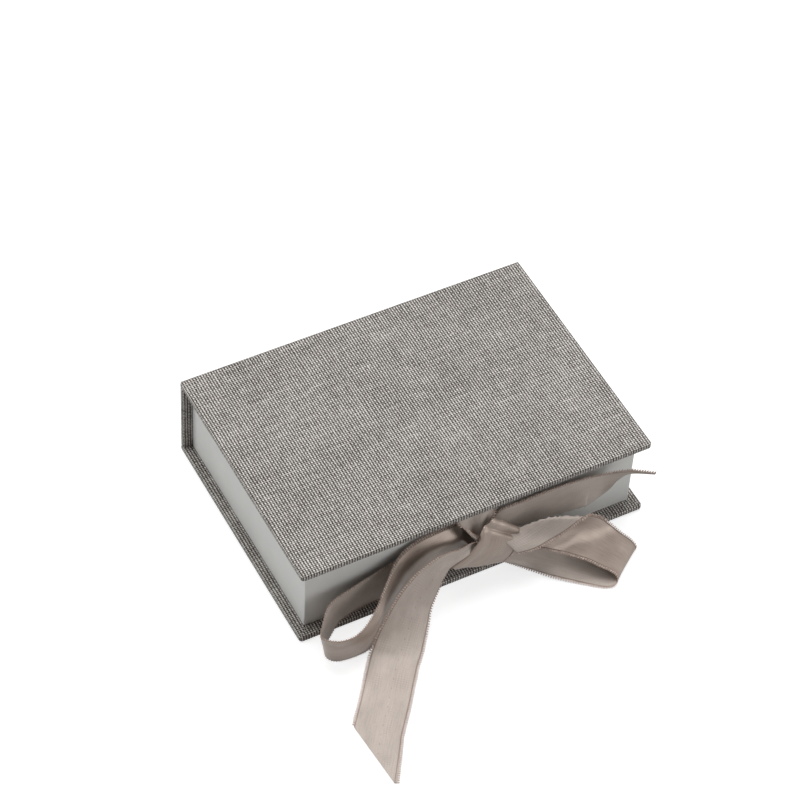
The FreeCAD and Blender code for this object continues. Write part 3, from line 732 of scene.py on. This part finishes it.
# The strands of the bow. The function selvedges tells what the numbers of a station and
# of a tip are, and ribbonGrid what the shape says.
leftLoop = {
    "node": "left_loop", "body": "root", "cut": (165, 0), "held": "folded", "rests": ["bowKnot"],
    "sides": (ribbonBack, ribbonFace),
    "shape": {"pleats": 1.5, "gather": 0.3, "wave": 0.2,
              "cup": (0, 0, 0, 0, 0, 0, 0, 0.5, 2.4, 3.4, 0)},
    "stations": [
        ((3, 8.7, 14), (0, 0, 1), 0.18),
        ((0, 5.7, 12), (0, 0, 1), 0.18),
        ((-4, 3.1, 11.5), (0, 0, 1), 0.22),
        ((-10, 1.9, 12.5), (-2, -1, 22), 0.8),
        ((-22, 1.6, 9.5), (-2, -0.8, 22), 1),
        ((-37, 2.1, 5.5), (-3, 0.3, 22), 1),
        ((-49, 2.5, 4.2), (-6, 1.5, 20), 1),
        ((-58, 3.3, 4.1), (-8, 2.5, 19), 1),
        ((-65, 4.6, 4.2), (-8, 4, 19), 1),
        ((-68.5, 6.2, 3.1), (-8, 5.5, 19), 1),
        ((-72, 8.4, 0.9), (-8, 7, 19), 1),
        ((-75.5, 11.5, 0.4), (-7, 7, 20), 1),
        ((-77.8, 15, 0.4), (-5.5, 5.5, 21), 1),
        ((-78, 18, 0.4), (-4, 4.5, 21), 1),
        ((-76, 20.7, 0.4), (-3.3, 4, 21), 1),
        ((-72, 22.1, 0.4), (-3.5, 4, 21), 1),
        ((-65.5, 22.5, 0.4), (-4, 3.5, 21), 1),
        ((-58, 20.9, 1), (-5, 2.5, 21), 0.95),
        ((-49, 16.5, 3.5), (-6.5, 1.8, 21), 0.92),
        ((-40, 10.5, 8), (-7.5, 0.5, 20), 0.92),
        ((-30.8, 5.0, 12.5), (-8, -0.6, 19.5), 0.93),
        ((-20, 2.6, 16.5), (-8, -0.6, 20), 0.92),
        ((-10, 1.8, 18.6), (-4.5, -0.6, 21), 0.80),
        ((-5, 2.7, 18), (-1.5, -1, 12), 0.7),
        ((-1, 5.3, 17.5), (0, 0, 1), 0.2),
        ((2, 8, 18.5), (0, 0, 1), 0.2),
    ],
}
rightLoop = {
    "node": "right_loop", "body": "root", "cut": (135, 0), "held": "folded", "rests": ["bowKnot"],
    "sides": (ribbonFace, ribbonBack),
    "shape": {"pleats": 2.0, "gather": 0.5, "wave": 0.45,
              "cup": (0, 0, 0, 0, 0, 0, 0.6, 0.9, 0.6, 0, 0)},
    "stations": [
        ((6, 9.9, 13.5), (1, -1, 12), 0.35),
        ((13, 11, 8), (3, -3, 14), 0.55),
        ((21.5, 15.8, 3.2), (8, -6, 14), 0.85),
        ((31, 23.7, 1), (13, -9, 10), 1),
        ((40.3, 31.5, 0.5), (16, -12, 6), 1),
        ((47, 36.7, 0.4), (17, -13.5, 1), 1),
        ((51.2, 38.3, 0.9), (17, -13.7, 0), 1),
        ((54, 37.3, 2.2), (17, -13.7, -1), 1),
        ((54.2, 35.6, 4.2), (17, -13.7, -2.6), 1),
        ((52, 33.5, 6.3), (17.4, -13.2, -2), 1),
        ((48, 30.5, 8), (18.3, -12.2, 0), 1),
        ((43.1, 25.9, 10), (18.9, -10.6, 3.4), 1),
        ((36.5, 21.1, 12), (18.5, -7, 9), 1),
        ((30.8, 18.4, 14), (17, -5, 13), 0.92, (46.9, 14.7, 25.1)),
        ((25, 15, 15.5), (6.8, -3, 15.4), 0.77, (35.6, 15.8, 20.3)),
        ((14, 10.5, 18.5), (3, -1.5, 11), 0.45, (24.7, 16, 19)),
        ((6, 10.5, 20.5), (1, -0.5, 10), 0.4, (14, 15, 19)),
    ],
}
longTail = {
    "node": "long_tail", "body": "root", "cut": (118, 24), "held": "laid", "rests": ["bowKnot"],
    "sides": (stitchedBack, stitchedBack), "shape": {"pleats": 1.0, "gather": 0.15},
    "stations": [
        ((-2.5, 10.5, 25.5), (-1, 0, 6), 0.25),
        ((-6.5, 11, 24.8), (-0.6, -0.5, 6.1), 0.3),
        ((-12.4, 12, 24.4), (-0.3, -0.5, 6.5), 0.33),
        ((-17.7, 13, 23.5), (-0.5, -1.2, 8), 0.42),
        ((-20.6, 14, 20.5), (-4, -1, 11), 0.62),
        ((-24.4, 16, 14.5), (-9, -1, 13), 0.9),
        ((-28.8, 19, 9), (-15, -2, 14), 1),
        ((-32.9, 24.2, 5), (-16.5, -5, 11), 1),
        ((-36.7, 29.1, 2.4), (-17.2, -8, 7.4), 1),
        ((-41, 34.5, 1), (-17.4, -11.5, 4.6), 1),
        ((-46.2, 40.4, 0.5), (-17.1, -13.8, 2.2), 1),
        ((-57.5, 55.1, 0.3), (-17.1, -13.8, 0.6), 1),
        ((-67.6, 67.6, 0.3), (-17.1, -13.8, 0), 1),
    ],
    "tips": [
        ((-81, 87.2, 0.3), (-17.1, -13.8, 0), 0.05),
    ],
}
shortTail = {
    "node": "short_tail", "body": "root", "cut": (88, 30), "held": "hung", "rests": ["bowKnot"],
    "sides": (ribbonBack, ribbonBack), "shape": {"pleats": 1.5, "gather": 0.05, "lift": 1.0},
    "stations": [
        ((6, 8.3, 27), (0, 0, -1), 0.25),
        ((7.3, 4.5, 29.5), (0, 0, -1), 0.3),
        ((11.7, 2.3, 35.4), (0, 2, -12), 0.6, (11.7, 2.4, 30)),
        ((21.4, 2.5, 36.2), (0.2, 2, -13.2), 0.68, (21.4, 2.6, 31)),
        ((31, 2.8, 36.9), (1.2, 1.8, -16.5), 0.8, (31.6, 3, 26)),
        ((40.8, 3.1, 37.1), (2.1, 1.4, -18.5), 0.88, (42.4, 3.6, 22)),
        ((50.5, 3.6, 37), (3.5, 0.9, -20.1), 0.95, (53.7, 4.2, 18.2)),
        ((57, 4.3, 36.8), (-1.7, -0.6, -20.6), 0.97),
    ],
    "tips": [
        ((62.8, 5.2, 36.5), (-0.4, -1.4, -17.8), 0.81),
        ((68.6, 7, 36.9), (-2.7, -1.5, -12.6), 0.58),
        ((71.5, 8, 36.8), (-2.5, -0.8, -5.3), 0.26),
        ((74.5, 9.2, 36.6), (-2.5, -0.8, -5), 0.11),
        ((82.9, 14, 35.5), (-2.5, -1, -5), 0.04),
    ],
}
lidLead = {
    "node": "lid_ribbon_lead", "body": "lid", "cut": (17, 0), "held": "stretched",
    "rests": ["lid_ribbon_anchor"], "sides": (ribbonBack, ribbonBack),
    "shape": {"pleats": 2.0, "gather": 0.4},
    "stations": [
        ((9.5, 2.85, 42.33), (-1, 0, 0), 1),
        ((8.2, 4.6, 41.6), (-19.3, 0, -0.3), 0.88),
        ((6.3, 6.3, 39.2), (-14.4, -0.2, -2), 0.66, (-7.8, 6.8, 38.4)),
        ((3.7, 7.4, 36), (-8.3, -0.2, -4.6), 0.43, (-5.1, 8, 35)),
        ((1.7, 8.3, 33.5), (-3.6, -0.2, -6.6), 0.34, (-2.7, 8.9, 32.8)),
        ((0.4, 8.8, 31.5), (-1.4, -0.1, -5.9), 0.28, (-1.3, 9.2, 31.5)),
        ((2.5, 9.2, 28), (-1, 0, -3), 0.2, (0.5, 9.4, 27.4)),
    ],
}
baseLead = {
    "node": "base_ribbon_lead", "body": "root", "cut": (16, 0), "held": "stretched",
    "rests": ["base_ribbon_anchor"], "sides": (ribbonBack, ribbonBack), "shape": {"pleats": 2.0},
    "stations": [
        ((-9, 0.45, 3.17), (1, 0, 0), 1),
        ((-6.8, 0.45, 6), (1, 0, 0), 0.8),
        ((-3.5, 1.95, 8), (1, 0, 0), 0.5),
        ((-1.3, 5.5, 10), (1, 0, 0), 0.3),
        ((-0.8, 10.1, 12.5), (1, 0, 0), 0.25),
    ],
}


# The knot's band goes round the crossing: up the back, over the rolled top fold, down the
# flat front and under. Each station is the left selvedge and the right selvedge.
bowKnot = {
    "node": "bow_knot", "body": "root", "cut": (58, 0), "held": "folded", "rests": ["left_loop"],
    "sides": (ribbonBack, ribbonFace), "steps": 12,
    "swell": 0.4, "pleatDepth": 0.26, "curl": 1.5, "roll": 1.5,    # mm out of the band
    "pleats": 2.2, "pleatCrowd": 0.8, "pleatTurn": 0.6, "pleatFade": 1.15,
    "curlShare": 0.14, "rollLeft": 0.45, "creaseShare": 0.75,
    # mm along the band from the row of the fold, and mm of its width that lie hidden
    "foldRow": 4, "rollAt": 0.6, "rollWidth": 1.3, "creaseAt": 3.4, "creaseWidth": 0.9,
    "hidden": 3.0,
    "stations": [
        ((1, 8, 20), (11.5, 7.5, 12)),
        ((3.5, 7.6, 29), (14.5, 7, 18)),
        ((4.8, 7.6, 36.5), (16, 7.2, 24)),
        ((4.2, 8.1, 40.4), (16.8, 8.2, 27.3)),
        ((2.9, 9.1, 41), (16.9, 9.6, 27.6)),
        ((1, 10, 39.8), (16.6, 10.8, 26)),
        ((-1.2, 10.5, 39), (15.9, 12, 24.8)),
        ((-3.3, 11.6, 36.8), (15.4, 13, 22.4)),
        ((-4.1, 12.2, 33.2), (14.9, 13.2, 19)),
        ((-6.6, 12.4, 29.3), (13.3, 13, 15.4)),
        ((-10.9, 12, 24.6), (11.9, 12.4, 12.7)),
        ((-16.4, 11, 19.5), (10.6, 11.5, 10.6)),
        ((-8, 9.4, 18), (10.2, 9.4, 10)),
    ],
}


def knotGrid(look):
    # the band as a closed ring of rows, swollen by 1 - (2v - 1)^2 in the middle, with
    # shallow pleats that run with the band and gather on its left. The left edge is a
    # fold that curls in; the top is a rolled fold, and a crease below it, each exp(-x^2)
    table = np.array(look["stations"], float)
    edges = placed(table)
    wrapped = np.concatenate([edges[-2:], edges, edges[:3]])
    smooth = smoothRows(wrapped, look["steps"])[2 * look["steps"]:(2 + len(edges)) * look["steps"]]
    across = smooth[:, 1] - smooth[:, 0]
    middle = smooth.mean(1)
    tangent = unit(np.roll(middle, -1, 0) - np.roll(middle, 1, 0))
    normal = unit(np.cross(tangent, across))
    normal = normal * np.sign((normal * (middle - middle.mean(0))).sum(1, keepdims=True))
    inset = ribbonLook["selvedge"] / ribbonWidth
    v = np.linspace(inset, 1 - inset, ribbonLook["across"])[None, :]
    turn = np.linspace(0, 2 * np.pi, len(smooth), endpoint=False)[:, None]
    sway = look["pleatTurn"] * np.sin(turn)
    pleat = np.sin(2 * np.pi * look["pleats"] * v ** look["pleatCrowd"] + sway)
    swell = look["swell"] * (1 - (2 * v - 1) ** 2)
    swell = swell + look["pleatDepth"] * pleat * (look["pleatFade"] - v)
    swell = swell - look["curl"] * (1 - np.minimum(v / look["curlShare"], 1)) ** 2
    run = runAlong(middle)
    past = (run - run[look["foldRow"] * look["steps"]])[:, None]
    rolled = (np.exp(-((past - look["rollAt"]) / look["rollWidth"]) ** 2)
              - look["creaseShare"] * np.exp(-((past - look["creaseAt"]) / look["creaseWidth"]) ** 2))
    swell = swell + look["roll"] * (look["rollLeft"] + (1 - look["rollLeft"]) * v) * rolled
    points = smooth[:, :1] + v[..., None] * across[:, None] + swell[..., None] * normal[:, None]
    shown = look["hidden"] + v * (ribbonWidth - look["hidden"])
    uv = np.stack(np.broadcast_arrays(run[:, None], shown), -1)
    return points, uv, normal, np.full(len(run), True)


ribbonPiece("bowKnot", knotGrid(bowKnot), bowKnot, closed=True)
strands = {"leftLoop": leftLoop, "rightLoop": rightLoop, "longTail": longTail,
           "shortTail": shortTail, "lidLead": lidLead, "baseLead": baseLead}
for name, look in strands.items():
    ribbonPiece(name, ribbonGrid(look["stations"], look.get("tips", ()), **look["shape"]), look)
print("bow tied:", len(strands), "strands")


def seenRays(tree):
    # 1 for the rays that show the backdrop: the camera's own, mirrored and passed through
    path = addNode(tree, "LightPath")
    seen = addNode(tree, "Math ADD", (path["Is Camera Ray"], path["Is Glossy Ray"]))[0]
    seen = addNode(tree, "Math ADD", (seen, path["Is Transmission Ray"]))[0]
    return addNode(tree, "Math MINIMUM", (seen, 1.0))[0]


floorLook = {"colour": "#b4b4b4", "glow": 0.76, "half": 3000.0, "under": 0.15}


def stageFloor(look):
    # a wide pale floor just under the object, which keeps its shadow. To the rays that
    # show the backdrop it also glows, as white as the world behind it
    material, tree, shader = newMaterial("studioFloor")
    feed(tree, shader, {"Base Color": linear(look["colour"]), "Roughness": 1.0,
                        "Specular IOR Level": 0.0})
    strength = addNode(tree, "Math MULTIPLY", (seenRays(tree), look["glow"]))[0]
    glow = addNode(tree, "Emission", {"Color": (1, 1, 1, 1), "Strength": strength})[0]
    both = addNode(tree, "AddShader", (shader.outputs[0], glow))[0]
    feed(tree, tree.nodes["Material Output"], {"Surface": both})
    signs = np.array([(-1, -1, 0), (1, -1, 0), (1, 1, 0), (-1, 1, 0)])
    points = signs * look["half"] - np.array([0, 0, look["under"]])
    meshPiece("floor", points, np.array([[0, 1, 2, 3]]), material, smooth=False)


lightLook = {
    "low": 0.02, "high": 0.2, "towards": (0.0, 0.1, 1.0), "spread": (-0.1, 1.0),
    "lamps": {
        "keyLight": {"strength": 2.3, "angle": 40, "from": (0.1, 0.3, 1.0)},
        "leftFill": {"strength": 1.35, "angle": 50, "from": (-1.0, 0.5, 0.3)},
        "frontFill": {"strength": 1.12, "angle": 50, "from": (0.6, -0.8, 0.24)},
    },
}


def studioLight(look):
    # a dome that brightens towards one direction: smoothstep of the cosine between the
    # ray and that direction. The rays that show the backdrop see plain white
    world = bpy.data.worlds.new("studioWorld")
    bpy.context.scene.world = world
    world.use_nodes = True
    tree = world.node_tree
    ray = addNode(tree, "TexCoord")["Generated"]
    aim = Vector(look["towards"]).normalized()
    towards = addNode(tree, "VectorMath DOT_PRODUCT", (ray, aim))["Value"]
    dome = addNode(tree, "MapRange", {
        "Value": towards, "From Min": look["spread"][0], "From Max": look["spread"][1],
        "To Min": look["low"], "To Max": look["high"]}, {"interpolation_type": "SMOOTHSTEP"})[0]
    # in a mix of numbers, 2 and 3 are the two numbers
    strength = addNode(tree, "Mix", {0: seenRays(tree), 2: dome, 3: 1.0}, {"data_type": "FLOAT"})[0]
    feed(tree, tree.nodes["Background"], {"Color": (1, 1, 1, 1), "Strength": strength})
    for name, lampLook in look["lamps"].items():
        lamp = bpy.data.lights.new(name, "SUN")
        lamp.energy = lampLook["strength"]
        lamp.angle = math.radians(lampLook["angle"])
        sun = bpy.data.objects.new(name, lamp)
        sun.rotation_mode = "QUATERNION"
        sun.rotation_quaternion = Vector(lampLook["from"]).to_track_quat("Z", "Y")
        bpy.context.scene.collection.objects.link(sun)


cameraLook = {
    "place": (-0.44929, -0.74314, 1.05701), "azimuth": 30.69, "elevation": 49.14,
    "roll": 3.97, "lens": 137.57, "sensor": 36, "farthest": 20,
}


def setCamera(look):
    # right, up and back axes from azimuth (+Y towards +X), elevation looked down, roll
    a, e, r = (math.radians(look[k]) for k in ("azimuth", "elevation", "roll"))
    forward = np.array([math.sin(a) * math.cos(e), math.cos(a) * math.cos(e), -math.sin(e)])
    level = np.array([math.cos(a), -math.sin(a), 0])
    upright = np.cross(level, forward)
    right = level * math.cos(r) + upright * math.sin(r)
    up = np.cross(right, forward)
    camera = bpy.data.objects.new("camera", bpy.data.cameras.new("camera"))
    camera.data.lens = look["lens"]
    camera.data.sensor_width = look["sensor"]
    camera.data.clip_end = look["farthest"]
    turned = Matrix(np.stack([right, up, -forward], 1).tolist()).to_4x4()
    camera.matrix_world = Matrix.Translation(look["place"]) @ turned
    bpy.context.scene.collection.objects.link(camera)
    bpy.context.scene.camera = camera


stageFloor(floorLook)
studioLight(lightLook)
setCamera(cameraLook)
bpy.context.scene.view_settings.view_transform = "Standard"
print("stage set")
